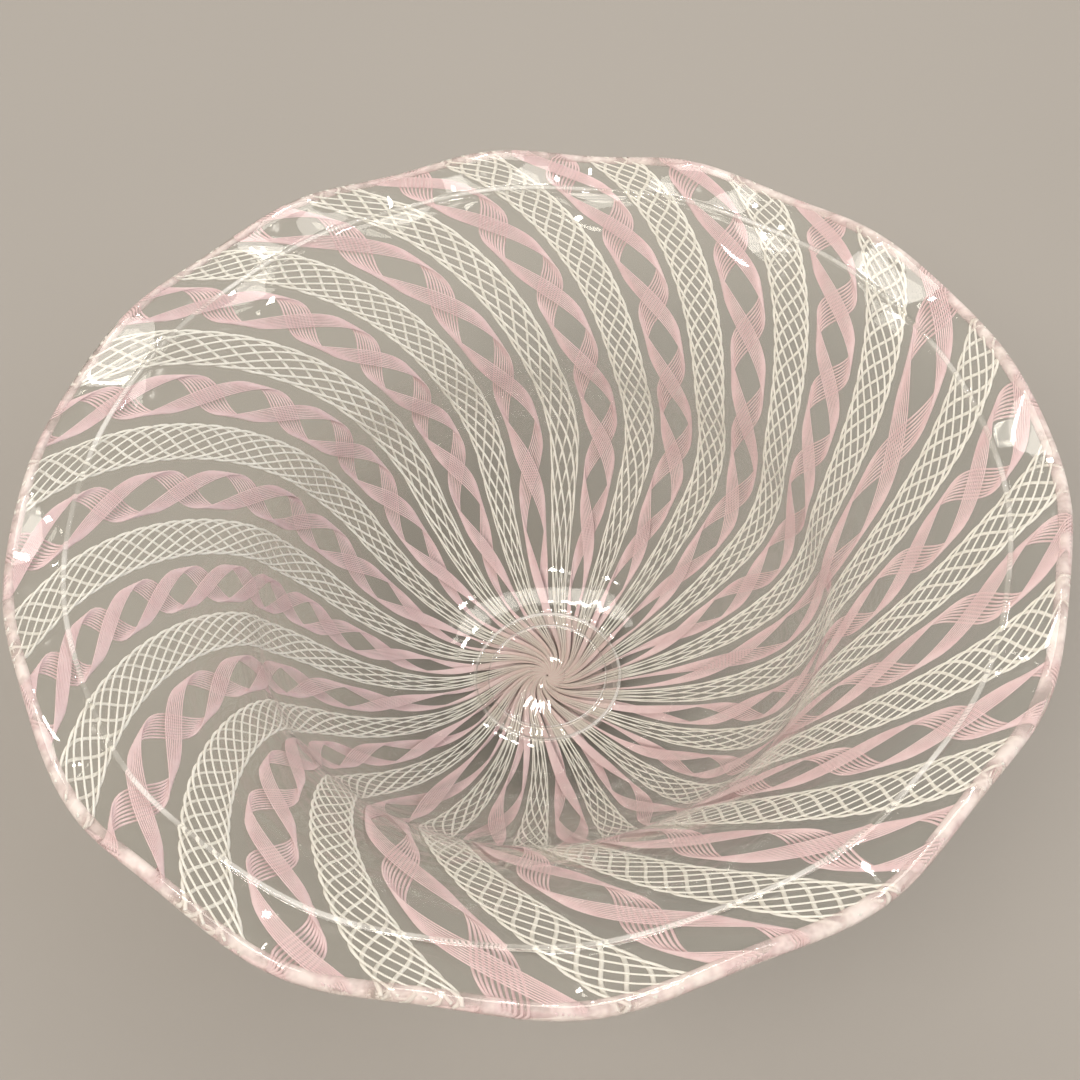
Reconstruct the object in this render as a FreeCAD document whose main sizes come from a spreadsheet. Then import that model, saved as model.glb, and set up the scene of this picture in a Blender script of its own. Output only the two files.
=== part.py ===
import FreeCAD, Part
import math
import os

import Sketcher

# Footed art glass bowl: thirty-six glass canes, fused side by side, rise from a pinched base button,
# swirl round the wall and end in a waved lip. The bowl stands on an applied foot.
# Millimetres and degrees. +Z is up, and the origin is the centre of the foot's underside.

DIMENSIONS = (
    # alias, value, meaning
    ("rim_radius", 120.0, "outermost radius of the lip"),
    ("bowl_depth", 86.4, "height of the lip's edge above the floor, both at mid thickness"),
    ("floor_radius", 20.0, "radius of the flat floor"),
    ("floor_reach", 26.8, "how far the floor's direction carries into the belly"),
    ("waist_radius", 72.7, "radius where the wall is steepest"),
    ("waist_height", 46.1, "height of the waist above the floor"),
    ("waist_angle", 80.0, "slope of the wall at the waist"),
    ("waist_reach_down", 15.6, "how far the waist's direction carries down the belly"),
    ("waist_reach_up", 10.9, "how far the waist's direction carries up the flare"),
    ("crease_radius", 107.8, "radius of the crease where the lip begins"),
    ("crease_angle", 24.3, "slope of the flare where it meets the crease"),
    ("crease_reach", 17.5, "how far the crease's direction carries back into the flare"),
    ("lip_rise", 3.3, "height of the lip's edge above the crease"),
    ("wall_thickness", 2.8, "thickness of the floor and wall"),
    ("lip_thickness", 3.6, "thickness of the fire-polished lip"),
    ("thickening_power", 3, "how late the wall thickens towards the lip"),
    ("cane_pairs", 18, "ribbon canes, with as many net canes between them"),
    ("first_cane_angle", 11.4, "azimuth of the first ribbon cane on the floor"),
    ("cane_drift", 1.5, "how far the canes crowd towards one side"),
    ("swirl_turn", 34.3, "turn of each cane between the floor and the lip"),
    ("swirl_start", 71.3, "distance along the wall at which the swirl starts"),
    ("swirl_power", 1.58, "how late the swirl builds up"),
    ("wave_lobes", 13, "waves round the lip"),
    ("wave_height", 2.1, "mean half-height of a wave at the lip's edge"),
    ("wave_bias", 0.7, "how much taller the back waves are, and lower the front ones"),
    ("wave_angle", 8.3, "azimuth of the first wave's crest"),
    ("wave_pull", 0.6, "how far a raised stretch of lip is drawn in, per height raised"),
    ("wave_start_radius", 94.0, "radius at which the waves start"),
    ("wave_power", 2, "how late the waves build up from there"),
    ("lip_bulges", 3, "gentle bulges round the lip, seen from above"),
    ("lip_sway", 0.75, "how far the lip bulges"),
    ("lip_sway_angle", 18.0, "azimuth of the first bulge"),
    ("button_radius", 5.0, "radius of the pinched base button"),
    ("button_rounding", 0.8, "rounding of the button's top edge"),
    ("foot_radius", 19.6, "radius of the foot where it stands"),
    ("foot_top_radius", 18.4, "radius of the foot under the floor"),
    ("foot_height", 5.2, "height of the foot"),
    ("foot_rounding", 0.6, "rounding of the foot's two lower edges"),
    ("recess_radius", 15.8, "radius of the hollow under the foot"),
    ("recess_depth", 1.8, "depth of the hollow under the foot"),
)

WALL_STATIONS = 32      # places up each cane that its faces pass through
ROUNDING_STATIONS = 4   # more of them round the lip's edge
STRIP_COLUMNS = 4       # places across each cane
PROFILE_STEPS = 60      # short lengths each curve of the profile is measured in
SAME_PLACE = 0.001      # millimetres within which two places count as one

doc = FreeCAD.newDocument("ArtGlassBowl")
sheet = doc.addObject("Spreadsheet::Sheet", "Sizes")
for row, (alias, value, meaning) in enumerate(DIMENSIONS, start=1):
    sheet.set(f"A{row}", alias)
    sheet.set(f"B{row}", str(value))
    sheet.setAlias(f"B{row}", alias)
    sheet.set(f"C{row}", meaning)
doc.recompute()
size = {alias: float(sheet.get(alias)) for alias, value, meaning in DIMENSIONS}


# ---------------------------------------------------------------- the bowl's profile
# A profile point is (radius, height), with the floor at height 0.

def direction(angle):
    return math.cos(math.radians(angle)), math.sin(math.radians(angle))


def along(start, unit, distance):
    return start[0] + unit[0] * distance, start[1] + unit[1] * distance


def between(start, end, fraction):
    return tuple(first + (last - first) * fraction for first, last in zip(start, end))


def cubic(start, start_pull, end_pull, end, fraction):
    """The point a cubic Bezier curve reaches when its parameter is this fraction."""
    corners = [start, start_pull, end_pull, end]
    while len(corners) > 1:
        corners = [between(first, last, fraction) for first, last in zip(corners, corners[1:])]
    return corners[0]


def fine_profile():
    """Closely spaced points from the base button out to the centre of the lip's round edge."""
    level = (1.0, 0.0)
    waist_way = direction(size["waist_angle"])
    crease_way = direction(size["crease_angle"])
    floor_edge = (size["floor_radius"], 0.0)
    waist = (size["waist_radius"], size["waist_height"])
    crease = (size["crease_radius"], size["bowl_depth"] - size["lip_rise"])
    lip_end = (size["rim_radius"] - size["lip_thickness"] / 2, size["bowl_depth"])

    belly = (floor_edge, along(floor_edge, level, size["floor_reach"]),
             along(waist, waist_way, -size["waist_reach_down"]), waist)
    flare = (waist, along(waist, waist_way, size["waist_reach_up"]),
             along(crease, crease_way, -size["crease_reach"]), crease)
    steps = [step / PROFILE_STEPS for step in range(1, PROFILE_STEPS + 1)]
    points = [(size["button_radius"], 0.0), floor_edge]
    points += [cubic(*belly, step) for step in steps]
    points += [cubic(*flare, step) for step in steps]
    points.append(lip_end)
    return points


def wall_stations():
    """Evenly spaced stations up the wall, then a few more round the lip's edge.

    A station is (radius, height, unit tangent, half thickness, turn about the edge, distance)."""
    points = fine_profile()
    distances = [size["button_radius"]]
    for before, after in zip(points, points[1:]):
        distances.append(distances[-1] + math.dist(before, after))
    length = distances[-1]

    def middle_and_tangent(distance):
        segment = max(index for index, value in enumerate(distances[:-1]) if value <= distance)
        before, after = points[segment], points[segment + 1]
        step = distances[segment + 1] - distances[segment]
        middle = between(before, after, (distance - distances[segment]) / step)
        tangent = tuple((last - first) / step for first, last in zip(before, after))
        return middle, tangent

    thickening = size["lip_thickness"] - size["wall_thickness"]
    stations = []
    for index in range(WALL_STATIONS + 1):
        fraction = index / WALL_STATIONS
        distance = size["button_radius"] + (length - size["button_radius"]) * fraction
        middle, tangent = middle_and_tangent(distance)
        thickness = size["wall_thickness"] + thickening * fraction ** size["thickening_power"]
        stations.append((*middle, tangent, thickness / 2, 0.0, distance))
    radius, height, tangent, half, _, distance = stations[-1]
    for index in range(1, ROUNDING_STATIONS + 1):
        turn = math.pi / 2 * index / ROUNDING_STATIONS
        stations.append((radius, height, tangent, half, turn, distance + half * turn))
    return stations


# ---------------------------------------------------------------- swirl and waves

def swirl(distance, length):
    """How far the canes have turned at a distance along the wall."""
    risen = max(0.0, (distance - size["swirl_start"]) / (length - size["swirl_start"]))
    return size["swirl_turn"] * min(risen, 1.0) ** size["swirl_power"]


def cane_azimuth(place):
    """Azimuth on the floor of a place counted in canes, where 0 is the first ribbon cane."""
    even = size["first_cane_angle"] + place * 180 / size["cane_pairs"]
    return even - size["cane_drift"] * math.sin(math.radians(even))


def wave(azimuth, radius):
    """How far the lip is drawn out and lifted at an azimuth and radius."""
    spread = size["rim_radius"] - size["wave_start_radius"]
    grown = max(0.0, (radius - size["wave_start_radius"]) / spread) ** size["wave_power"]
    height = size["wave_height"] + size["wave_bias"] * math.sin(math.radians(azimuth))
    lift = height * math.cos(math.radians(size["wave_lobes"] * (azimuth - size["wave_angle"])))
    bulge = size["lip_sway"] * math.cos(math.radians(size["lip_bulges"] * (azimuth - size["lip_sway_angle"])))
    return (bulge - size["wave_pull"] * lift) * grown, lift * grown


def wall_point(station, place, side, length):
    """A point on the wall's inner (side 1) or outer (side -1) surface."""
    radius, height, tangent, half, turn, distance = station
    across, onward = half * math.cos(turn), half * math.sin(turn)
    azimuth = cane_azimuth(place) + swirl(distance, length)
    drawn_out, lift = wave(azimuth, radius)
    radius += drawn_out - tangent[1] * side * across + tangent[0] * onward
    height += lift + tangent[0] * side * across + tangent[1] * onward
    angle = math.radians(azimuth)
    return FreeCAD.Vector(radius * math.cos(angle), radius * math.sin(angle), height)


# ---------------------------------------------------------------- smooth faces and solids

def curve_through(points, parameters):
    curve = Part.BSplineCurve()
    curve.interpolate(Points=points, Parameters=parameters)
    return curve


def face_of(poles, lengthwise, knots, multiplicities, degree):
    """The face of a grid of poles, with a curve's own spacing one way and the given one the other."""
    surface = Part.BSplineSurface()
    surface.buildFromPolesMultsKnots(
        poles, lengthwise.getMultiplicities(), multiplicities, lengthwise.getKnots(), knots,
        False, False, lengthwise.Degree, degree)
    return surface.toShape()


def face_through(grid, row_parameters, column_parameters):
    """A smooth face through a grid of points, whose border runs through its outer points alone."""
    columns = [curve_through(list(column), row_parameters) for column in zip(*grid)]
    rows = [curve_through(list(poles), column_parameters)
            for poles in zip(*(column.getPoles() for column in columns))]
    poles = [row.getPoles() for row in rows]
    return face_of(poles, columns[0], rows[0].getKnots(), rows[0].getMultiplicities(), rows[0].Degree)


def face_between(first_points, second_points, parameters):
    """A face ruled from one curve to another; the curves may meet at an end."""
    first = curve_through(first_points, parameters)
    second = curve_through(second_points, parameters)
    poles = [list(pair) for pair in zip(first.getPoles(), second.getPoles())]
    return face_of(poles, first, [0.0, 1.0], [2, 2], 1)


def closed_solid(faces):
    shell = Part.makeShell(faces)
    shell.sewShape()
    solid = Part.makeSolid(shell)
    if solid.Volume < 0:
        solid.reverse()
    return solid


def cane_solid(index, stations):
    """One cane's share of the wall, from the base button to the lip."""
    length = stations[-ROUNDING_STATIONS - 1][-1]
    heights = [station[-1] for station in stations]
    across = [column / (STRIP_COLUMNS - 1) for column in range(STRIP_COLUMNS)]

    def grid(side):
        return [[wall_point(station, index - 0.5 + part, side, length) for part in across]
                for station in stations]

    inner, outer = grid(1), grid(-1)
    faces = [face_through(inner, heights, across), face_through(outer, heights, across)]
    for column in (0, -1):
        faces.append(face_between([row[column] for row in inner], [row[column] for row in outer], heights))
    faces.append(face_between(inner[0], outer[0], across))
    return closed_solid(faces)


# ---------------------------------------------------------------- turned pieces

def origin_plane(body, role):
    return next(item for item in body.Origin.OriginFeatures if item.Role == role)


def turned_body(name, corners):
    """A body turned about Z from a closed outline whose corners are pairs of sheet expressions."""
    body = doc.addObject("PartDesign::Body", name)
    body.Label = name
    sketch = body.newObject("Sketcher::SketchObject", name + "_outline")
    sketch.AttachmentSupport = (origin_plane(body, "XZ_Plane"), [""])
    sketch.MapMode = "FlatFace"
    horizontal_axis, vertical_axis, start, end = -1, -2, 1, 2

    def measure(expression):
        return 0.0 if expression == "0" else size[expression]

    places = [FreeCAD.Vector(measure(across), measure(up), 0) for across, up in corners]
    for index, place in enumerate(places):
        following = places[(index + 1) % len(places)]
        sketch.addGeometry(Part.LineSegment(place, following), False)
    for index in range(len(corners)):
        following = (index + 1) % len(corners)
        sketch.addConstraint(Sketcher.Constraint("Coincident", index, end, following, start))
    for index, corner in enumerate(corners):
        for kind, expression, axis in zip(("DistanceX", "DistanceY"), corner,
                                          (vertical_axis, horizontal_axis)):
            if expression == "0":
                sketch.addConstraint(Sketcher.Constraint("PointOnObject", index, start, axis))
                continue
            number = sketch.addConstraint(
                Sketcher.Constraint(kind, -1, 1, index, start, measure(expression)))
            sketch.setExpression(f"Constraints[{number}]", "Sizes." + expression)
    turning = body.newObject("PartDesign::Revolution", name + "_turning")
    turning.Profile = sketch
    turning.ReferenceAxis = (sketch, ["V_Axis"])
    turning.Angle = 360
    doc.recompute()
    return body, turning


def round_edges(body, base, wanted, radius):
    """Round each circular edge of base that stands at one of the wanted (radius, height) pairs."""
    def is_wanted(edge):
        if not isinstance(edge.Curve, Part.Circle):
            return False
        spot = (edge.Curve.Radius, edge.Curve.Center.z)
        return any(math.dist(spot, pair) < SAME_PLACE for pair in wanted)

    names = [f"Edge{number}" for number, edge in enumerate(base.Shape.Edges, start=1) if is_wanted(edge)]
    rounding = body.newObject("PartDesign::Fillet", body.Name + "_rounding")
    rounding.Base = (base, names)
    rounding.setExpression("Radius", "Sizes." + radius)
    doc.recompute()


def make_foot():
    corners = (("0", "recess_depth"), ("recess_radius", "recess_depth"), ("recess_radius", "0"),
               ("foot_radius", "0"), ("foot_top_radius", "foot_height"), ("0", "foot_height"))
    body, turning = turned_body("applied_foot", corners)
    lower_edges = [(size["recess_radius"], 0.0), (size["foot_radius"], 0.0)]
    round_edges(body, turning, lower_edges, "foot_rounding")
    return body


def make_button():
    corners = (("0", "0"), ("button_radius", "0"), ("button_radius", "wall_thickness"),
               ("0", "wall_thickness"))
    body, turning = turned_body("pinched_base_button", corners)
    round_edges(body, turning, [(size["button_radius"], size["wall_thickness"])], "button_rounding")
    body.setExpression(".Placement.Base.z", "Sizes.foot_height")
    return body


def make_canes():
    """Ribbon and net canes by turns, standing on the foot."""
    stations = wall_stations()
    floor = FreeCAD.Vector(0, 0, size["foot_height"] + size["wall_thickness"] / 2)
    canes = []
    for index in range(2 * int(size["cane_pairs"])):
        kind = "white_net_cane" if index % 2 else "pink_ribbon_cane"
        name = f"{kind}_{index // 2 + 1:02d}"
        cane = doc.addObject("Part::Feature", name)
        cane.Label = name
        cane.Shape = cane_solid(index, stations)
        cane.Placement = FreeCAD.Placement(floor, FreeCAD.Rotation())
        canes.append(cane)
    return canes


nodes = [make_foot(), make_button(), *make_canes()]
doc.recompute()

for item in doc.Objects:
    if "Invalid" in item.State or "Error" in item.State:
        raise RuntimeError(f"{item.Name} did not recompute: {item.State}")
for node in nodes:
    if node.Shape.isNull() or not node.Shape.isValid() or not node.Shape.Solids:
        raise RuntimeError(f"{node.Label} is not a valid solid")

os.makedirs("parts", exist_ok=True)
for node in nodes:
    node.Shape.exportStep(os.path.join("parts", node.Label + ".step"))
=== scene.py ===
import math

import bpy
import numpy as np
from mathutils import Matrix, Vector


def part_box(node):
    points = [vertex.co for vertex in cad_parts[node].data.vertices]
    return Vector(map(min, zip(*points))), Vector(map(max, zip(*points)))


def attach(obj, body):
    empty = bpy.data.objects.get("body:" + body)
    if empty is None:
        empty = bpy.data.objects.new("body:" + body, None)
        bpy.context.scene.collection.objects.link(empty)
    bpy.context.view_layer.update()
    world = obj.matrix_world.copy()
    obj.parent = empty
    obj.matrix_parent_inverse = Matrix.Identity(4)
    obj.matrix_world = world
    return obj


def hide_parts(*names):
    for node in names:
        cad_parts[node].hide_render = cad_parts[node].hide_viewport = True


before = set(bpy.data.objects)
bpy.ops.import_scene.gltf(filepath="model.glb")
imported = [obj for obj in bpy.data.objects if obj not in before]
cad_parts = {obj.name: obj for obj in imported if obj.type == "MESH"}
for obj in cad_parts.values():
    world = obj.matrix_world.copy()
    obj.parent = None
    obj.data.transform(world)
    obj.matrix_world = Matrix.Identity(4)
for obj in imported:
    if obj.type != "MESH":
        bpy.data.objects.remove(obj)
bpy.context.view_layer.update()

# A footed art glass bowl. Eighteen pink ribbon canes and eighteen white net canes are fused into one
# clear wall, with coloured threads twisted inside it. Sizes are in millimetres and angles in degrees;
# MM turns a size into the scene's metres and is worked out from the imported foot.

# ---------------------------------------------------------------- driving sizes, as in the CAD part

RIM_RADIUS = 120.0
BOWL_DEPTH = 86.4
FLOOR_RADIUS, FLOOR_REACH = 20.0, 26.8
WAIST_RADIUS, WAIST_HEIGHT, WAIST_ANGLE = 72.7, 46.1, 80.0
WAIST_REACH_DOWN, WAIST_REACH_UP = 15.6, 10.9
CREASE_RADIUS, CREASE_ANGLE, CREASE_REACH = 107.8, 24.3, 17.5
LIP_RISE = 3.3
WALL_THICKNESS, LIP_THICKNESS, THICKENING_POWER = 2.8, 3.6, 3
CANE_PAIRS, FIRST_CANE_ANGLE, CANE_DRIFT = 18, 11.4, 1.5
SWIRL_TURN, SWIRL_START, SWIRL_POWER = 34.3, 71.3, 1.58
WAVE_LOBES, WAVE_HEIGHT, WAVE_BIAS, WAVE_ANGLE = 13, 2.1, 0.7, 8.3
WAVE_PULL, WAVE_START_RADIUS, WAVE_POWER = 0.6, 94.0, 2
LIP_BULGES, LIP_SWAY, LIP_SWAY_ANGLE = 3, 0.75, 18.0
BUTTON_RADIUS = 5.0
CURVE_STEPS = 80                     # straight steps along each curve of the wall's profile
FOOT_RADIUS, FOOT_TOP_RADIUS, FOOT_HEIGHT, FOOT_ROUNDING = 19.6, 18.4, 5.2, 0.6
RECESS_RADIUS, RECESS_DEPTH = 15.8, 1.8

foot_low, foot_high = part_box("applied_foot")
MM = (foot_high.z - foot_low.z) / FOOT_HEIGHT
FLOOR_HEIGHT = FOOT_HEIGHT + WALL_THICKNESS / 2
CANE_NODES = sorted(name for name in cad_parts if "cane" in name)

# ---------------------------------------------------------------- the coloured threads

CANE_PITCH = 180 / CANE_PAIRS        # degrees from one cane to the next
PINK_SPREAD = 4.05                   # degrees either side of a ribbon cane's middle
NET_SPREAD = 3.65                    # degrees either side of a net cane's middle
RIBBON_THREADS = 9
RIBBON_ARC = 67.0                    # degrees of the cane's circumference that a ribbon covers
NET_THREADS = 9
NET_START_STEP = 37                  # degrees between the starts of neighbouring nets
PINK_HALF_WIDTH = 0.172              # of one thread, in degrees of the bowl's circumference
WHITE_HALF_WIDTH = 0.275
LEAST_HALF_WIDTH, PACKED_WIDENING = 0.16, 0.12
THREAD_HALF_DEPTH = 0.2
WIDTH_SWAY = 0.1                     # share by which a thread is wider on its cane's inner side
PACKED_SPREAD, PACKED_REACH = 5.2, 16.0   # near the centre the canes are squeezed until they touch
THREAD_DEPTH = 0.85                  # how far from the wall's middle a thread swings
RIBBON_TWIST_POWER = 1.55            # how much the twist tightens towards the lip
NET_TWIST_POWER = 2.0
THREAD_STEP = 1.1
THREAD_SIDES = 6
THREAD_OVERRUN = 1.3                 # how far the threads run into the lip's rounded edge
MELTED_MIDDLE = 0.2                  # of the melted thread ends, past the start of the rounded edge
MELTED_HALF_LENGTH, MELTED_HALF_DEPTH = 1.2, 1.25
MELTED_SWAY, MELTED_SWAY_ANGLE = 0.35, -40.0   # the melted band is wider on one side of the bowl
WHIRL_TURN, WHIRL_FADE = 95.0, 6.8   # the canes' extra turn at the centre, and how fast it fades
WHIRL_START, WHIRL_STEPS = 0.3, 7
SEAM_OVERLAP = 0.5                   # how far a cane's threads run on over its pinched end

# Where each ribbon cane's first and last eyes sit along the wall, and the half turns between them.
RIBBON_TWISTS = (
    (23, 146, 6), (31, 148, 5), (36, 145, 5), (30, 146, 5), (47, 152, 4), (26, 154, 6),
    (27, 155, 6), (23, 147, 6), (33, 155, 8), (28, 156, 6), (22, 147, 6), (29, 138, 3),
    (38, 153, 4), (53, 153, 4), (45, 155, 5), (24, 150, 5), (46, 149, 5), (27, 141, 3),
)
# The half turns each net cane makes from the centre to the lip.
NET_HALF_TURNS = (
    5.5, 5.6, 5.6, 3.8, 5.3, 4.0, 5.8, 5.9, 5.8,
    6.0, 5.9, 5.2, 5.6, 6.1, 5.8, 5.0, 4.8, 5.4,
)

# ---------------------------------------------------------------- surface detail of the blown glass

WALL_COLUMNS = 540
WALL_ROW_STEP = 1.9
LIP_ROWS = 8
CANE_RIB = 0.05                      # half the height of a fused cane's rib over the seams beside it
RIPPLE_REACH = 60.0                  # the ribs and ripples grow to full height over this distance
# Each ripple's height, waves round the bowl and millimetres along the wall per radian.
RIPPLES = ((0.06, 7, 9.0), (0.035, 23, -4.3))
OUTSIDE_RIPPLE, OUTSIDE_RIPPLE_TURN = 0.7, 5.0   # the outside is smoother and ripples elsewhere
RIDGE_REACH, RIDGE_GAP = 3, 0.2      # finer rows at a ridge and the gap beside them, in ridge widths
RIDGE_ROWS = 13
CREASE_RIDGE, CREASE_WIDTH = 0.32, 0.5
# Sizes of the pale hoops on the ridges' crests, which are painted highlight lines; on the crease partly
# a scuff.
CREST_HALF_WIDTH, CREST_HALF_HEIGHT, CREST_SINK = 0.5, 0.2, 0.1
RING_RIDGE, RING_RIDGE_WIDTH = 0.15, 0.45   # two raised rings on the floor, above the foot's edges
RING_RADII, RING_HALF_WIDTHS = (16.4, 20.3), (0.25, 0.5)
CLOUD_HALF_DEPTH = 0.12              # of the pale band between the rings and the haze under the threads, both partly painted light
HAZE_START = 0.2                     # radius of the haze's inner edge
CENTRE_DIMPLE, CENTRE_DIMPLE_WIDTH = 0.35, 3.0
FOOT_COLUMNS, FOOT_ARC_STEPS = 144, 6
HOOP_SIDES, MELTED_SIDES = 8, 12
FUSING_OVERLAP = 0.05                # how far the foot's top sinks into the wall


# ---------------------------------------------------------------- shape of the wall

def direction(angle):
    return np.array([math.cos(math.radians(angle)), math.sin(math.radians(angle))])


def bezier(corners, steps):
    """Points of the cubic Bezier curve with these four corners."""
    part = np.linspace(0, 1, steps + 1)[1:, None]
    first, second, third, last = corners
    rest = 1 - part
    return (rest ** 3 * first + 3 * part * rest ** 2 * second
            + 3 * part ** 2 * rest * third + part ** 3 * last)


def wall_profile():
    """Distance, radius and height of closely spaced points from the centre to just past the lip."""
    level = direction(0)
    floor_edge = np.array([FLOOR_RADIUS, 0.0])
    waist = np.array([WAIST_RADIUS, WAIST_HEIGHT])
    crease = np.array([CREASE_RADIUS, BOWL_DEPTH - LIP_RISE])
    lip_end = np.array([RIM_RADIUS - LIP_THICKNESS / 2, BOWL_DEPTH])
    belly = (floor_edge, floor_edge + level * FLOOR_REACH,
             waist - direction(WAIST_ANGLE) * WAIST_REACH_DOWN, waist)
    flare = (waist, waist + direction(WAIST_ANGLE) * WAIST_REACH_UP,
             crease - direction(CREASE_ANGLE) * CREASE_REACH, crease)
    past_lip = lip_end + (lip_end - crease) / np.linalg.norm(lip_end - crease) * LIP_THICKNESS
    curves = np.vstack([bezier(belly, CURVE_STEPS), bezier(flare, CURVE_STEPS)])
    points = np.vstack([[0.0, 0.0], floor_edge, curves, lip_end, past_lip])
    steps = np.linalg.norm(np.diff(points, axis=0), axis=1)
    return np.concatenate([[0.0], np.cumsum(steps)]), points


PROFILE_DISTANCES, PROFILE_POINTS = wall_profile()
LENGTH = PROFILE_DISTANCES[-2]
CREASE_DISTANCE = PROFILE_DISTANCES[-3]


def profile_at(distance):
    """Radius, height and unit tangent of the wall's middle at a distance from the centre."""
    def point(where):
        return (np.interp(where, PROFILE_DISTANCES, PROFILE_POINTS[:, 0]),
                np.interp(where, PROFILE_DISTANCES, PROFILE_POINTS[:, 1]))

    reach = 0.6
    low = np.maximum(distance - reach, 0.0)
    high = np.minimum(distance + reach, PROFILE_DISTANCES[-1])
    (low_radius, low_height), (high_radius, high_height) = point(low), point(high)
    outward, upward = high_radius - low_radius, high_height - low_height
    size = np.hypot(outward, upward)
    return *point(distance), outward / size, upward / size


def half_thickness(distance):
    """Half the wall's thickness, which grows towards the lip."""
    risen = np.clip((distance - BUTTON_RADIUS) / (LENGTH - BUTTON_RADIUS), 0, 1)
    return (WALL_THICKNESS + (LIP_THICKNESS - WALL_THICKNESS) * risen ** THICKENING_POWER) / 2


def wave(azimuth, radius):
    """How far the lip is drawn out and lifted at an azimuth and radius."""
    spread = RIM_RADIUS - WAVE_START_RADIUS
    held = np.minimum(radius, RIM_RADIUS - LIP_THICKNESS / 2)
    grown = np.maximum(0.0, (held - WAVE_START_RADIUS) / spread) ** WAVE_POWER
    height = WAVE_HEIGHT + WAVE_BIAS * np.sin(np.radians(azimuth))
    lift = height * np.cos(np.radians(WAVE_LOBES * (azimuth - WAVE_ANGLE)))
    bulge = LIP_SWAY * np.cos(np.radians(LIP_BULGES * (azimuth - LIP_SWAY_ANGLE)))
    return (bulge - WAVE_PULL * lift) * grown, lift * grown


def wall_point(azimuth, distance, depth, onward=0.0):
    """Points of the wall in metres. Depth counts from its middle towards the inside of the bowl."""
    radius, height, outward, upward = profile_at(distance)
    drawn_out, lift = wave(azimuth, radius)
    radius = radius + drawn_out - upward * depth + outward * onward
    height = height + lift + outward * depth + upward * onward + FLOOR_HEIGHT
    angle = np.radians(azimuth)
    return np.stack([radius * np.cos(angle), radius * np.sin(angle), height], -1) * MM


def swirl(distance):
    """How far the canes have been spun round at a distance up the wall."""
    risen = np.clip((distance - SWIRL_START) / (LENGTH - SWIRL_START), 0, 1)
    return SWIRL_TURN * risen ** SWIRL_POWER


def cane_azimuth(place, distance):
    """Azimuth of a place counted in canes from the first ribbon cane, at a distance up the wall."""
    even = FIRST_CANE_ANGLE + place * CANE_PITCH
    on_floor = even - CANE_DRIFT * math.sin(math.radians(even))
    return on_floor + swirl(distance) - WHIRL_TURN * np.exp(-distance / WHIRL_FADE)


# ---------------------------------------------------------------- mesh helpers

def new_piece(name, points, faces, material, stands_for):
    """A smooth mesh piece that rides on the bowl and stands for the named CAD nodes."""
    mesh = bpy.data.meshes.new(name)
    mesh.from_pydata(points.tolist(), [], faces)
    mesh.materials.append(material)
    mesh.shade_smooth()
    mesh.update()
    piece = bpy.data.objects.new(name, mesh)
    bpy.context.scene.collection.objects.link(piece)
    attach(piece, "root")
    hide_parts(*stands_for)
    return piece


def closed_rings(rings, start_point, end_point):
    """Points and faces of a closed skin of equal rings, with a fan to a point at each end."""
    count = rings.shape[1]
    points = np.vstack([rings.reshape(-1, 3), start_point, end_point])
    start, end = len(points) - 2, len(points) - 1
    last = (len(rings) - 1) * count
    faces = []
    for row in range(len(rings) - 1):
        for column in range(count):
            following = (column + 1) % count
            low, high = row * count, (row + 1) * count
            faces.append((low + column, high + column, high + following, low + following))
    for column in range(count):
        following = (column + 1) % count
        faces.append((start, column, following))
        faces.append((end, last + following, last + column))
    return points, faces


# ---------------------------------------------------------------- the clear wall

def wall_rows():
    """Distances of the wall's rows, closer together at each ridge."""
    rows = np.arange(WALL_ROW_STEP / 2, LENGTH - WALL_ROW_STEP / 2, WALL_ROW_STEP)
    ridges = [(CREASE_DISTANCE, CREASE_WIDTH)] + [(radius, RING_RIDGE_WIDTH) for radius in RING_RADII]
    for middle, width in ridges:
        clear = rows[np.abs(rows - middle) > (RIDGE_REACH + RIDGE_GAP) * width]
        finer = middle + width * np.linspace(-RIDGE_REACH, RIDGE_REACH, RIDGE_ROWS)
        rows = np.concatenate([clear, finer])
    return np.append(np.sort(rows), LENGTH)


def hand_ripple(azimuth, distance):
    """The slight unevenness that tools leave in a blown wall."""
    turned = azimuth - swirl(distance)
    uneven = CANE_RIB * np.cos(np.radians(2 * CANE_PAIRS * (turned - FIRST_CANE_ANGLE)))
    for height, waves, reach in RIPPLES:
        uneven = uneven + height * np.sin(np.radians(waves * azimuth) + distance / reach)
    return uneven * np.clip(distance / RIPPLE_REACH, 0, 1) ** 2


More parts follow.
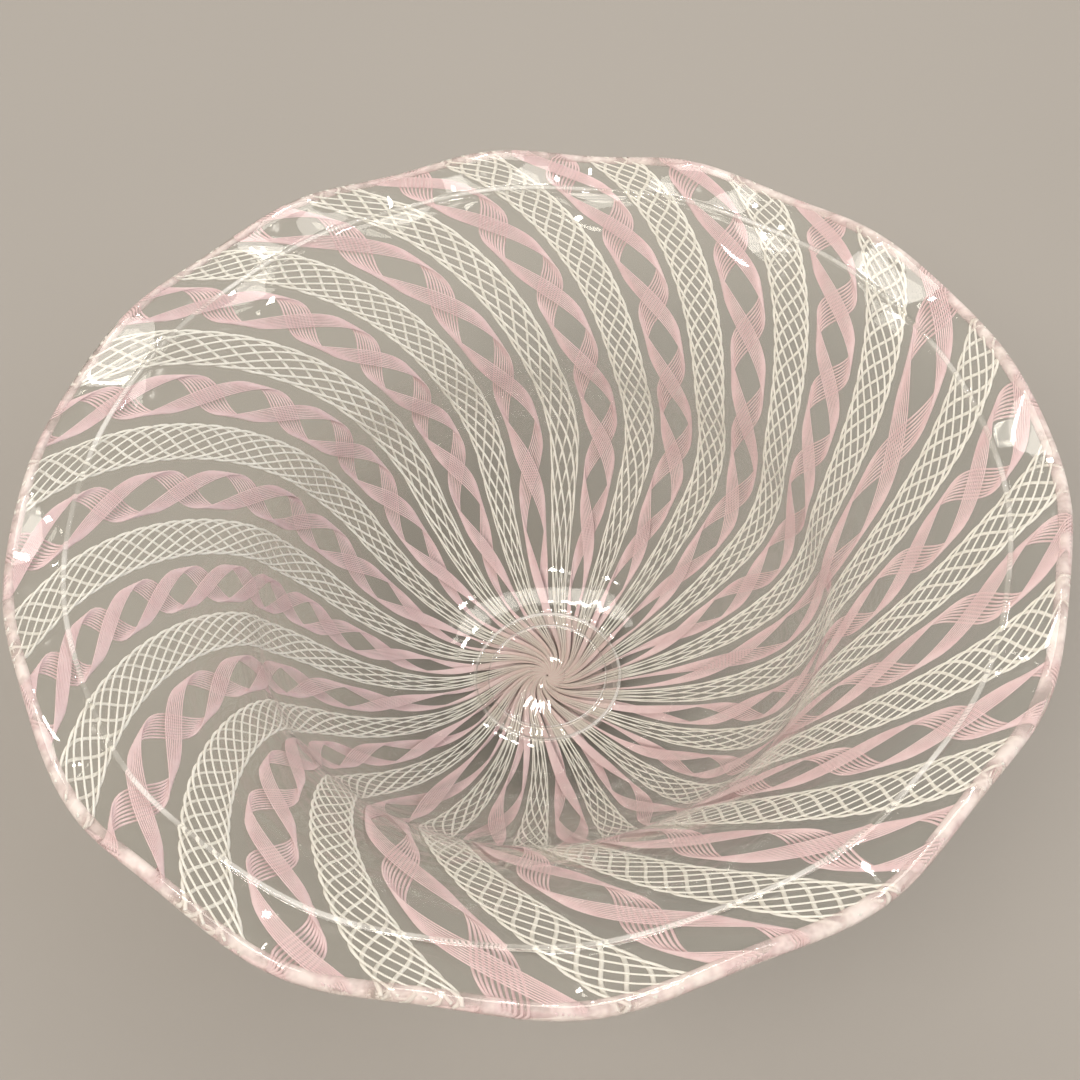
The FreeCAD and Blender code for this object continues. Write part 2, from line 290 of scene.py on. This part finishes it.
def make_wall(material):
    """The clear wall as one closed skin: its inner face, the rounded lip and its outer face."""
    azimuth = np.arange(WALL_COLUMNS) * 360 / WALL_COLUMNS
    rows = wall_rows()
    grid_azimuth, grid_distance = np.meshgrid(azimuth, rows)
    half = half_thickness(grid_distance)
    crease = CREASE_RIDGE * np.exp(-((grid_distance - CREASE_DISTANCE) / CREASE_WIDTH) ** 2)
    dimple = CENTRE_DIMPLE * np.exp(-(grid_distance / CENTRE_DIMPLE_WIDTH) ** 2)
    ripple = hand_ripple(grid_azimuth, grid_distance)
    for radius in RING_RADII:
        ripple = ripple + RING_RIDGE * np.exp(-((grid_distance - radius) / RING_RIDGE_WIDTH) ** 2)
    inner = wall_point(grid_azimuth, grid_distance, half + ripple + crease - dimple)
    outside = OUTSIDE_RIPPLE * hand_ripple(grid_azimuth + OUTSIDE_RIPPLE_TURN, grid_distance)
    outer = wall_point(grid_azimuth, grid_distance, outside - half)
    turns = np.linspace(0, np.pi, LIP_ROWS + 1)[1:-1]
    lip = [wall_point(azimuth, np.full_like(azimuth, LENGTH), LIP_THICKNESS / 2 * math.cos(turn)
                      + ripple[-1] * math.cos(turn) ** 2, LIP_THICKNESS / 2 * math.sin(turn))
           for turn in turns]
    rings = np.concatenate([inner, lip, outer[::-1]])
    top = [0, 0, (FLOOR_HEIGHT + WALL_THICKNESS / 2 - CENTRE_DIMPLE) * MM]
    bottom = [0, 0, FOOT_HEIGHT * MM]
    points, faces = closed_rings(rings, top, bottom)
    return new_piece("clear_wall", points, faces, material, CANE_NODES)


def hoop(name, middle, half_length, depth, half_depth, sides, material):
    """A ring that lies in the wall all round the bowl, with an oval section."""
    azimuth = np.linspace(0, 360, WALL_COLUMNS + 1)
    rings = [wall_point(azimuth, np.full_like(azimuth, middle) + half_length * math.cos(turn),
                        depth + half_depth * math.sin(turn))
             for turn in np.arange(sides) * 2 * math.pi / sides]
    rings = np.stack(rings, axis=1)
    points, faces = closed_rings(rings, rings[0].mean(0), rings[-1].mean(0))
    return new_piece(name, points, faces, material, CANE_NODES)


def make_highlight_and_haze_layers(scuff_and_highlight, band_cloud_and_light, haze_and_reflection):
    """Painted highlight hoops on the crease, partly a scuff, and on the two rings; the band between
    the rings and the haze above the foot, both partly milky glass and partly painted light.
    """
    (inner_ring, outer_ring), (inner_half, outer_half) = RING_RADII, RING_HALF_WIDTHS
    crests = (("crease_scuff_and_highlight", CREASE_DISTANCE, CREST_HALF_WIDTH, CREASE_RIDGE),
              ("foot_ring_highlight_1", inner_ring, inner_half, RING_RIDGE),
              ("foot_ring_highlight_2", outer_ring, outer_half, RING_RIDGE))
    # Pale hoops on the crests of the crease and the foot rings: painted highlight lines, the crease's
    # partly a scuff.
    for name, middle, half_width, ridge in crests:
        crest = half_thickness(middle) + ridge - CREST_SINK
        hoop(name, middle, half_width, crest, CREST_HALF_HEIGHT, HOOP_SIDES, scuff_and_highlight)

    # The band and the haze are pale layers, partly milky glass and partly painted light.
    layers = (("foot_band_cloud_and_light", inner_ring, outer_ring, 1, band_cloud_and_light),
              ("floor_haze_and_reflection", HAZE_START, inner_ring, -1, haze_and_reflection))
    for name, start, end, face, material in layers:
        middle, half_length = (start + end) / 2, (end - start) / 2
        depth = face * (half_thickness(middle) - 2 * CLOUD_HALF_DEPTH)
        hoop(name, middle, half_length, depth, CLOUD_HALF_DEPTH, HOOP_SIDES, material)


def make_melted_lip(material):
    """The ends of all the threads, melted together inside the fire-polished lip."""
    azimuth = np.radians(np.linspace(0, 360, WALL_COLUMNS + 1) - MELTED_SWAY_ANGLE)
    half_length = MELTED_HALF_LENGTH + MELTED_SWAY * np.cos(azimuth)
    hoop("melted_lip", LENGTH + MELTED_MIDDLE, half_length, 0.0, MELTED_HALF_DEPTH, MELTED_SIDES,
         material)


# ---------------------------------------------------------------- the foot

def arc(centre, radius, first, last, steps):
    """Points of a circular arc between two angles."""
    angles = np.radians(np.linspace(first, last, steps + 1))
    return np.stack([centre[0] + radius * np.cos(angles), centre[1] + radius * np.sin(angles)], -1)


def make_foot(material):
    """A turned clear foot with a softly rounded standing ring and a hollow beneath."""
    top = FOOT_HEIGHT + FUSING_OVERLAP
    soft = FOOT_ROUNDING
    side = math.degrees(math.atan2(FOOT_HEIGHT, FOOT_TOP_RADIUS - FOOT_RADIUS))
    inset = soft / math.tan(math.radians(180 - side) / 2)
    outline = np.vstack([
        [[FOOT_TOP_RADIUS * share, top] for share in (0.2, 0.4, 0.6, 0.8, 0.97)],
        [[FOOT_TOP_RADIUS, top]],
        [[FOOT_TOP_RADIUS + (FOOT_RADIUS - FOOT_TOP_RADIUS) * share, top * (1 - share)]
         for share in (0.3, 0.6)],
        arc((FOOT_RADIUS - inset, soft), soft, side - 90, -90, FOOT_ARC_STEPS),
        arc((RECESS_RADIUS + soft, soft), soft, -90, -180, FOOT_ARC_STEPS),
        arc((RECESS_RADIUS - soft, RECESS_DEPTH - soft), soft, 0, 90, FOOT_ARC_STEPS),
        [[RECESS_RADIUS * share, RECESS_DEPTH] for share in (0.8, 0.5, 0.2)],
    ])
    azimuth = np.radians(np.arange(FOOT_COLUMNS) * 360 / FOOT_COLUMNS)
    radius, height = outline[:, :1], outline[:, 1:]
    rings = np.stack([radius * np.cos(azimuth), radius * np.sin(azimuth),
                      np.broadcast_to(height, (len(outline), FOOT_COLUMNS))], -1) * MM
    points, faces = closed_rings(rings, [0, 0, top * MM], [0, 0, RECESS_DEPTH * MM])
    return new_piece("clear_foot", points, faces, material, ["applied_foot"])


# ---------------------------------------------------------------- the coloured threads

def thread_rings(place, spread, width, angles, distances):
    """Rings round the threads of one cane; angles holds each thread's turn at each distance."""
    turn = np.radians(angles)
    along = np.broadcast_to(distances, turn.shape)
    packed = np.exp(-(along / PACKED_REACH) ** 2)
    spread = spread + (PACKED_SPREAD - spread) * packed
    azimuth = cane_azimuth(place, along) + spread * np.sin(turn)
    depth = THREAD_DEPTH * np.cos(turn)
    middle = wall_point(azimuth, along, depth)
    radius, _, outward, upward = profile_at(along)
    cosine, sine = np.cos(np.radians(azimuth)), np.sin(np.radians(azimuth))
    up_wall = np.stack([outward * cosine, outward * sine, upward], -1)
    normal = np.stack([-upward * cosine, -upward * sine, outward], -1)
    way = np.gradient(middle, axis=1)
    way /= np.linalg.norm(way, axis=-1, keepdims=True)
    side = np.cross(way, normal)
    side /= np.linalg.norm(side, axis=-1, keepdims=True)
    normal = np.cross(side, way)
    steepness = np.abs((way * up_wall).sum(-1))
    swayed = 1 + WIDTH_SWAY * np.cos(turn)
    half_width = np.maximum(np.radians(width) * radius * swayed * steepness,
                            LEAST_HALF_WIDTH + PACKED_WIDENING * packed)
    corners = np.arange(THREAD_SIDES) * 2 * np.pi / THREAD_SIDES
    across = (half_width[..., None] * np.cos(corners))[..., None] * side[..., None, :]
    through = THREAD_HALF_DEPTH * np.sin(corners)[:, None] * normal[..., None, :]
    return middle[..., None, :] + (across + through) * MM


def make_threads(name, threads, material, stands_for):
    """One piece of many threads, each given by its rings."""
    all_points, all_faces = [], []
    first = 0
    for rings in threads:
        points, faces = closed_rings(rings, rings[0].mean(0), rings[-1].mean(0))
        all_points.append(points)
        all_faces += [tuple(corner + first for corner in face) for face in faces]
        first += len(points)
    return new_piece(name, np.vstack(all_points), all_faces, material, stands_for)


def ribbon_angles(index, distances):
    """Turns of the threads of a cane's two ribbons, which face each other across the cane."""
    first_eye, last_eye, half_turns = RIBBON_TWISTS[index]
    from_first = distances ** RIBBON_TWIST_POWER - first_eye ** RIBBON_TWIST_POWER
    wound = half_turns * from_first / (last_eye ** RIBBON_TWIST_POWER - first_eye ** RIBBON_TWIST_POWER)
    fan = np.linspace(-RIBBON_ARC / 2, RIBBON_ARC / 2, RIBBON_THREADS)
    threads = np.concatenate([fan, fan + 180])
    return 90 + 180 * wound + threads[:, None]


def net_angles(index, distances):
    """Turns of the threads of a net cane, evenly spaced round it."""
    wound = NET_HALF_TURNS[index] * (distances / LENGTH) ** NET_TWIST_POWER
    threads = np.arange(NET_THREADS) * 360 / NET_THREADS
    return NET_START_STEP * index + 180 * wound + threads[:, None]


def make_canes(pink, white):
    """The threads of every cane, and their pinched ends in the base button as one piece per colour."""
    steps = round((LENGTH - BUTTON_RADIUS) / THREAD_STEP)
    wall_part = np.linspace(BUTTON_RADIUS - SEAM_OVERLAP, LENGTH + THREAD_OVERRUN, steps)
    button_part = np.linspace(WHIRL_START, BUTTON_RADIUS, WHIRL_STEPS)
    kinds = (("pink_ribbon", 0, PINK_SPREAD, PINK_HALF_WIDTH, ribbon_angles, pink),
             ("white_net", 1, NET_SPREAD, WHITE_HALF_WIDTH, net_angles, white))
    for kind, offset, spread, width, angles, material in kinds:
        whirl = []
        for index in range(CANE_PAIRS):
            number = f"{index + 1:02d}"
            place = 2 * index + offset
            threads = thread_rings(place, spread, width, angles(index, wall_part), wall_part)
            make_threads(f"{kind}_threads_{number}", threads, material, [f"{kind}_cane_{number}"])
            whirl += list(thread_rings(place, spread, width, angles(index, button_part), button_part))
        make_threads(f"{kind}_whirl", whirl, material, ["pinched_base_button"])


# ---------------------------------------------------------------- materials

FROST_AND_LIGHT, FROST_AND_LIGHT_COLOUR = 0.42, (0.86, 0.76, 0.72, 1)   # how much of a low face's look is the pale frosted layer, partly painted light
FROST_AND_LIGHT_HEIGHT = 4.9                 # the foot's faces below this height get the pale frosted layer and painted light
THREAD_GLOW = 0.3                    # how much of a thread's look is light that comes through it
DARKENING_START, DARKENING_END = 24.0, 6.0   # radii between which the threads turn darker towards the centre
DARKENING_SHARE, DARKENING_COLOUR = 0.75, (0.56, 0.44, 0.39, 1)
GLASS_IOR = 1.5
CRYSTAL_TINT, CRYSTAL_GLOSS = (0.972, 0.978, 0.962, 1), 0.03

# Each coloured or half-clear glass's deeper and paler colour.
PINK = (0.82, 0.635, 0.65, 1), (0.88, 0.72, 0.73, 1)
WHITE = (0.88, 0.85, 0.80, 1), (0.94, 0.92, 0.88, 1)
# The hoops on the crease and the foot rings: painted highlight, on the crease partly a scuff.
SCUFF_AND_HIGHLIGHT = (0.85, 0.82, 0.79, 1), (0.92, 0.90, 0.88, 1)
# The band between the foot rings: partly milky glass, partly painted light that the standing ring
# catches.
BAND_CLOUD_AND_LIGHT = (0.80, 0.66, 0.62, 1), (0.88, 0.78, 0.74, 1)
# The haze above the foot: partly milky glass, partly a painted reflection of the threads in the foot's
# flat faces.
HAZE_AND_REFLECTION = (0.74, 0.60, 0.55, 1), (0.80, 0.67, 0.62, 1)
MELTED = (0.80, 0.60, 0.61, 1), (0.88, 0.78, 0.76, 1)


class Nodes:
    """A short way to build a material's node tree."""

    def __init__(self, name):
        self.material = bpy.data.materials.new(name)
        self.material.use_nodes = True
        self.tree = self.material.node_tree
        self.tree.nodes.clear()

    def add(self, kind, inputs=None, **settings):
        node = self.tree.nodes.new("ShaderNode" + kind)
        for key, value in settings.items():
            setattr(node, key, value)
        for key, value in (inputs or {}).items():
            if isinstance(value, bpy.types.NodeSocket):
                self.tree.links.new(value, node.inputs[key])
            else:
                node.inputs[key].default_value = value
        return node

    def finish(self, shader):
        output = self.add("OutputMaterial")
        self.tree.links.new(shader, output.inputs["Surface"])
        return self.material


def clear_glass(name, frost_and_light_height=0.0):
    """Bright crystal with a faint olive tint and tiny surface waves. Lamps shine straight through it.

    Faces below the given height, in millimetres, are partly covered by a pale diffuse layer:
    partly frosted glass and partly painted light caught by the foot's edges and reflected by its faces.
    """
    nodes = Nodes(name)
    place = nodes.add("TexCoord").outputs["Object"]
    waves = nodes.add("TexNoise", {"Vector": place, "Scale": 90.0, "Detail": 2.0, "Roughness": 0.4})
    bump = nodes.add("Bump", {"Height": waves.outputs["Fac"], "Strength": 0.04, "Distance": 0.0006})
    bend = nodes.add("BsdfRefraction", {"Color": CRYSTAL_TINT, "Roughness": 0.0, "IOR": GLASS_IOR,
                                        "Normal": bump.outputs["Normal"]}, distribution="GGX")
    mirror = nodes.add("BsdfAnisotropic", {"Color": (1, 1, 1, 1), "Roughness": CRYSTAL_GLOSS,
                                           "Normal": bump.outputs["Normal"]}, distribution="GGX")
    facing = nodes.add("Fresnel", {"IOR": GLASS_IOR, "Normal": bump.outputs["Normal"]})
    glass = nodes.add("MixShader", {0: facing.outputs["Fac"], 1: bend.outputs["BSDF"],
                                    2: mirror.outputs["BSDF"]})
    edge_on = nodes.add("LayerWeight", {"Blend": 0.35})
    dimmed = nodes.add("Mix", {"Factor": edge_on.outputs["Facing"], "A": (0.97, 0.97, 0.96, 1),
                               "B": (0.45, 0.44, 0.42, 1)}, data_type="RGBA")
    passed = nodes.add("BsdfTransparent", {"Color": dimmed.outputs["Result"]})
    path = nodes.add("LightPath")
    lit = nodes.add("Math", {0: path.outputs["Is Shadow Ray"], 1: path.outputs["Is Diffuse Ray"]},
                    operation="MAXIMUM")
    both = nodes.add("MixShader", {0: lit.outputs["Value"], 1: glass.outputs["Shader"],
                                   2: passed.outputs["BSDF"]})
    if frost_and_light_height:
        height = nodes.add("SeparateXYZ", {"Vector": place})
        low = nodes.add("Math", {0: height.outputs["Z"], 1: frost_and_light_height * MM}, operation="LESS_THAN")
        much = nodes.add("Math", {0: low.outputs["Value"], 1: FROST_AND_LIGHT}, operation="MULTIPLY")
        # A pale diffuse layer: partly frosted glass, partly painted light caught and reflected by the
        # foot.
        frost_and_light = nodes.add("BsdfDiffuse", {"Color": FROST_AND_LIGHT_COLOUR})
        both = nodes.add("MixShader", {0: much.outputs["Value"], 1: both.outputs["Shader"],
                                       2: frost_and_light.outputs["BSDF"]})
    return nodes.finish(both.outputs["Shader"])


def thread_glass(name, colours):
    """Opaque coloured glass drawn into threads: faint streaks and a little light through.

    The threads lie inside clear glass, so they have no gloss of their own. Near the bowl's
    axis all the colours are drawn darker, to a warm beige.
    """
    deep, pale = colours
    nodes = Nodes(name)
    place = nodes.add("TexCoord").outputs["Object"]
    streaks = nodes.add("TexNoise", {"Vector": place, "Scale": 260.0, "Detail": 3.0, "Roughness": 0.55})
    ramp = nodes.add("MapRange", {"Value": streaks.outputs["Fac"], "From Min": 0.3, "From Max": 0.7})
    colour = nodes.add("Mix", {"Factor": ramp.outputs["Result"], "A": deep, "B": pale},
                       data_type="RGBA")
    level = nodes.add("VectorMath", {0: place, 1: (1, 1, 0)}, operation="MULTIPLY")
    radius = nodes.add("VectorMath", {0: level.outputs["Vector"]}, operation="LENGTH")
    # Share of the darker beige, growing towards the bowl's axis.
    pinched = nodes.add("MapRange", {"Value": radius.outputs["Value"], "From Min": DARKENING_END * MM,
                                     "From Max": DARKENING_START * MM, "To Min": DARKENING_SHARE,
                                     "To Max": 0.0}, interpolation_type="SMOOTHSTEP")
    muted = nodes.add("Mix", {"Factor": pinched.outputs["Result"], "A": colour.outputs["Result"],
                              "B": DARKENING_COLOUR}, data_type="RGBA")
    tint = muted.outputs["Result"]
    body = nodes.add("BsdfPrincipled", {"Base Color": tint, "Roughness": 0.6, "IOR": 1.02})
    through = nodes.add("BsdfTranslucent", {"Color": tint})
    both = nodes.add("MixShader", {0: THREAD_GLOW, 1: body.outputs["BSDF"], 2: through.outputs["BSDF"]})
    return nodes.finish(both.outputs["Shader"])


def cloud_and_painted_light_glass(name, colours, grain, least, most):
    """Half-clear glass with pale clouds in it, from the least to the most opaque; also used for painted
    light.
    """
    deep, pale = colours
    nodes = Nodes(name)
    place = nodes.add("TexCoord").outputs["Object"]
    clouds = nodes.add("TexNoise", {"Vector": place, "Scale": grain, "Detail": 3.0})
    spots = nodes.add("MapRange", {"Value": clouds.outputs["Fac"], "From Min": 0.35, "From Max": 0.65})
    amount = nodes.add("MapRange", {"Value": spots.outputs["Result"], "To Min": least, "To Max": most})
    colour = nodes.add("Mix", {"Factor": spots.outputs["Result"], "A": deep, "B": pale},
                       data_type="RGBA")
    clear = nodes.add("BsdfTransparent", {"Color": (0.97, 0.97, 0.96, 1)})
    cloud = nodes.add("BsdfDiffuse", {"Color": colour.outputs["Result"]})
    both = nodes.add("MixShader", {0: amount.outputs["Result"], 1: clear.outputs["BSDF"],
                                   2: cloud.outputs["BSDF"]})
    return nodes.finish(both.outputs["Shader"])


def floor_surface():
    nodes = Nodes("pale_floor")
    place = nodes.add("TexCoord").outputs["Object"]
    mottle = nodes.add("TexNoise", {"Vector": place, "Scale": 3.0, "Detail": 2.0})
    deep, pale = FLOOR_COLOURS
    colour = nodes.add("Mix", {"Factor": mottle.outputs["Fac"], "A": deep, "B": pale}, data_type="RGBA")
    body = nodes.add("BsdfPrincipled", {"Base Color": colour.outputs["Result"], "Roughness": 0.7})
    return nodes.finish(body.outputs["BSDF"])


# ---------------------------------------------------------------- stage, light and camera

FLOOR_HALF_WIDTH = 25.0              # metres
# Small lamps that the glass mirrors: place across, place away from the viewer and size, in metres.
SPARKLES = (
    (-0.014, 0.583, 0.012), (-0.018, 0.547, 0.014), (-0.4, 0.0, 0.045), (0.4, 0.1, 0.045),
    (-0.1, -0.1, 0.045), (0.2, 0.45, 0.045), (0.05, 0.75, 0.03),
)
SPARKLE_POWER = 500.0                # watts per square metre of lamp
SPARKLE_HEIGHT = 1.05
CAMERA_YAW, CAMERA_PITCH, CAMERA_ROLL, CAMERA_LENS = 0.32, 53.46, 4.72, 44.96
CAMERA_BACK, CAMERA_RISE = 1.6222, 2.0096   # from the bowl's axis and lip, in rim radii
SENSOR_WIDTH = 36.0
WORLD_COLOUR, WORLD_STRENGTH = (0.93, 0.88, 0.80, 1), 0.51
FLOOR_COLOURS = (0.225, 0.208, 0.188, 1), (0.25, 0.232, 0.21, 1)
WARM, COOL = (1.0, 0.94, 0.87), (0.93, 0.96, 1.0)


def make_floor():
    half = FLOOR_HALF_WIDTH
    mesh = bpy.data.meshes.new("floor")
    corners = [(-half, -half, 0), (half, -half, 0), (half, half, 0), (-half, half, 0)]
    mesh.from_pydata(corners, [], [(0, 1, 2, 3)])
    mesh.materials.append(floor_surface())
    floor = bpy.data.objects.new("floor", mesh)
    bpy.context.scene.collection.objects.link(floor)


def make_world():
    world = bpy.data.worlds.new("studio")
    bpy.context.scene.world = world
    world.use_nodes = True
    background = world.node_tree.nodes["Background"]
    background.inputs["Color"].default_value = WORLD_COLOUR
    background.inputs["Strength"].default_value = WORLD_STRENGTH


def aim(name, light, place, mirrored):
    """Aim a light at the bowl. A mirrored light shows as a highlight and lights nothing."""
    holder = bpy.data.objects.new(name, light)
    holder.location = place
    middle = Vector((0, 0, BOWL_DEPTH / 2 * MM))
    holder.rotation_euler = (middle - Vector(place)).to_track_quat("-Z", "Y").to_euler()
    holder.visible_glossy = mirrored
    holder.visible_transmission = mirrored
    holder.visible_diffuse = not mirrored
    bpy.context.scene.collection.objects.link(holder)


def soft_light(name, place, strength, softness, colour):
    """An even light from far away, so the whole floor is lit alike. Softness is in degrees."""
    light = bpy.data.lights.new(name, "SUN")
    light.energy = strength
    light.angle = math.radians(softness)
    light.color = colour
    aim(name, light, place, False)


def lamp(name, place, width, height, power, colour):
    """A rectangular lamp that the glass mirrors."""
    light = bpy.data.lights.new(name, "AREA")
    light.shape = "RECTANGLE"
    light.size, light.size_y = width, height
    light.energy = power
    light.color = colour
    aim(name, light, place, True)


def make_lights():
    soft_light("key", (-0.6, -0.5, 1.1), 3.0, 30, WARM)
    soft_light("fill", (0.9, -0.3, 0.8), 1.9, 40, COOL)
    soft_light("back", (0.1, 1.1, 0.8), 1.75, 40, WARM)
    lamp("ceiling_panel", (0.0, 0.3, 1.2), 0.8, 0.3, 4.2, WARM)
    lamp("ceiling_strip", (-0.15, 0.38, 1.15), 0.25, 0.04, 1.0, WARM)
    for number, (across, away, size) in enumerate(SPARKLES):
        place = (across, away, SPARKLE_HEIGHT)
        lamp(f"sparkle_{number + 1}", place, size, size, SPARKLE_POWER * size ** 2, WARM)


def make_camera():
    """The camera stands where the photographer stood, leaning a little to one side."""
    lip_height = FLOOR_HEIGHT + BOWL_DEPTH
    yaw, pitch, roll = math.radians(CAMERA_YAW), math.radians(CAMERA_PITCH), math.radians(CAMERA_ROLL)
    ahead = math.cos(pitch)
    forward = Vector((math.sin(yaw) * ahead, math.cos(yaw) * ahead, -math.sin(pitch)))
    level = Vector((math.cos(yaw), -math.sin(yaw), 0))
    down = forward.cross(level)
    right = math.cos(roll) * level + math.sin(roll) * down
    up = math.sin(roll) * level - math.cos(roll) * down
    camera_data = bpy.data.cameras.new("camera")
    camera_data.sensor_width = SENSOR_WIDTH
    camera_data.lens = CAMERA_LENS
    camera_data.clip_start = 0.01
    camera = bpy.data.objects.new("camera", camera_data)
    place = Vector((0, -CAMERA_BACK * RIM_RADIUS, lip_height + CAMERA_RISE * RIM_RADIUS)) * MM
    turned = Matrix((right, up, -forward)).transposed().to_4x4()
    camera.matrix_world = Matrix.Translation(place) @ turned
    bpy.context.scene.collection.objects.link(camera)
    bpy.context.scene.camera = camera


# ---------------------------------------------------------------- build

make_wall(clear_glass("clear_crystal"))
make_highlight_and_haze_layers(
    # Painted highlight lines on the crease, partly a scuff, and on the two foot rings.
    cloud_and_painted_light_glass("scuff_and_highlight_glass", SCUFF_AND_HIGHLIGHT, grain=45.0, least=0.02, most=0.28),
    # A pale band between the foot rings, partly milky glass and partly painted light.
    cloud_and_painted_light_glass("band_cloud_and_light_glass", BAND_CLOUD_AND_LIGHT, grain=60.0, least=0.0, most=0.14),
    # A pale haze above the foot, partly milky glass and partly a painted reflection of the threads.
    cloud_and_painted_light_glass("floor_haze_and_reflection_glass", HAZE_AND_REFLECTION, grain=40.0, least=0.2, most=0.4),
)
make_melted_lip(cloud_and_painted_light_glass("melted_thread_glass", MELTED, grain=160.0, least=0.12, most=0.62))
make_foot(clear_glass("foot_crystal", FROST_AND_LIGHT_HEIGHT))
make_canes(thread_glass("pink_threads", PINK), thread_glass("white_threads", WHITE))
make_floor()
make_world()
make_lights()
make_camera()
bpy.context.scene.view_settings.view_transform = "Standard"

bpy.context.view_layer.update()
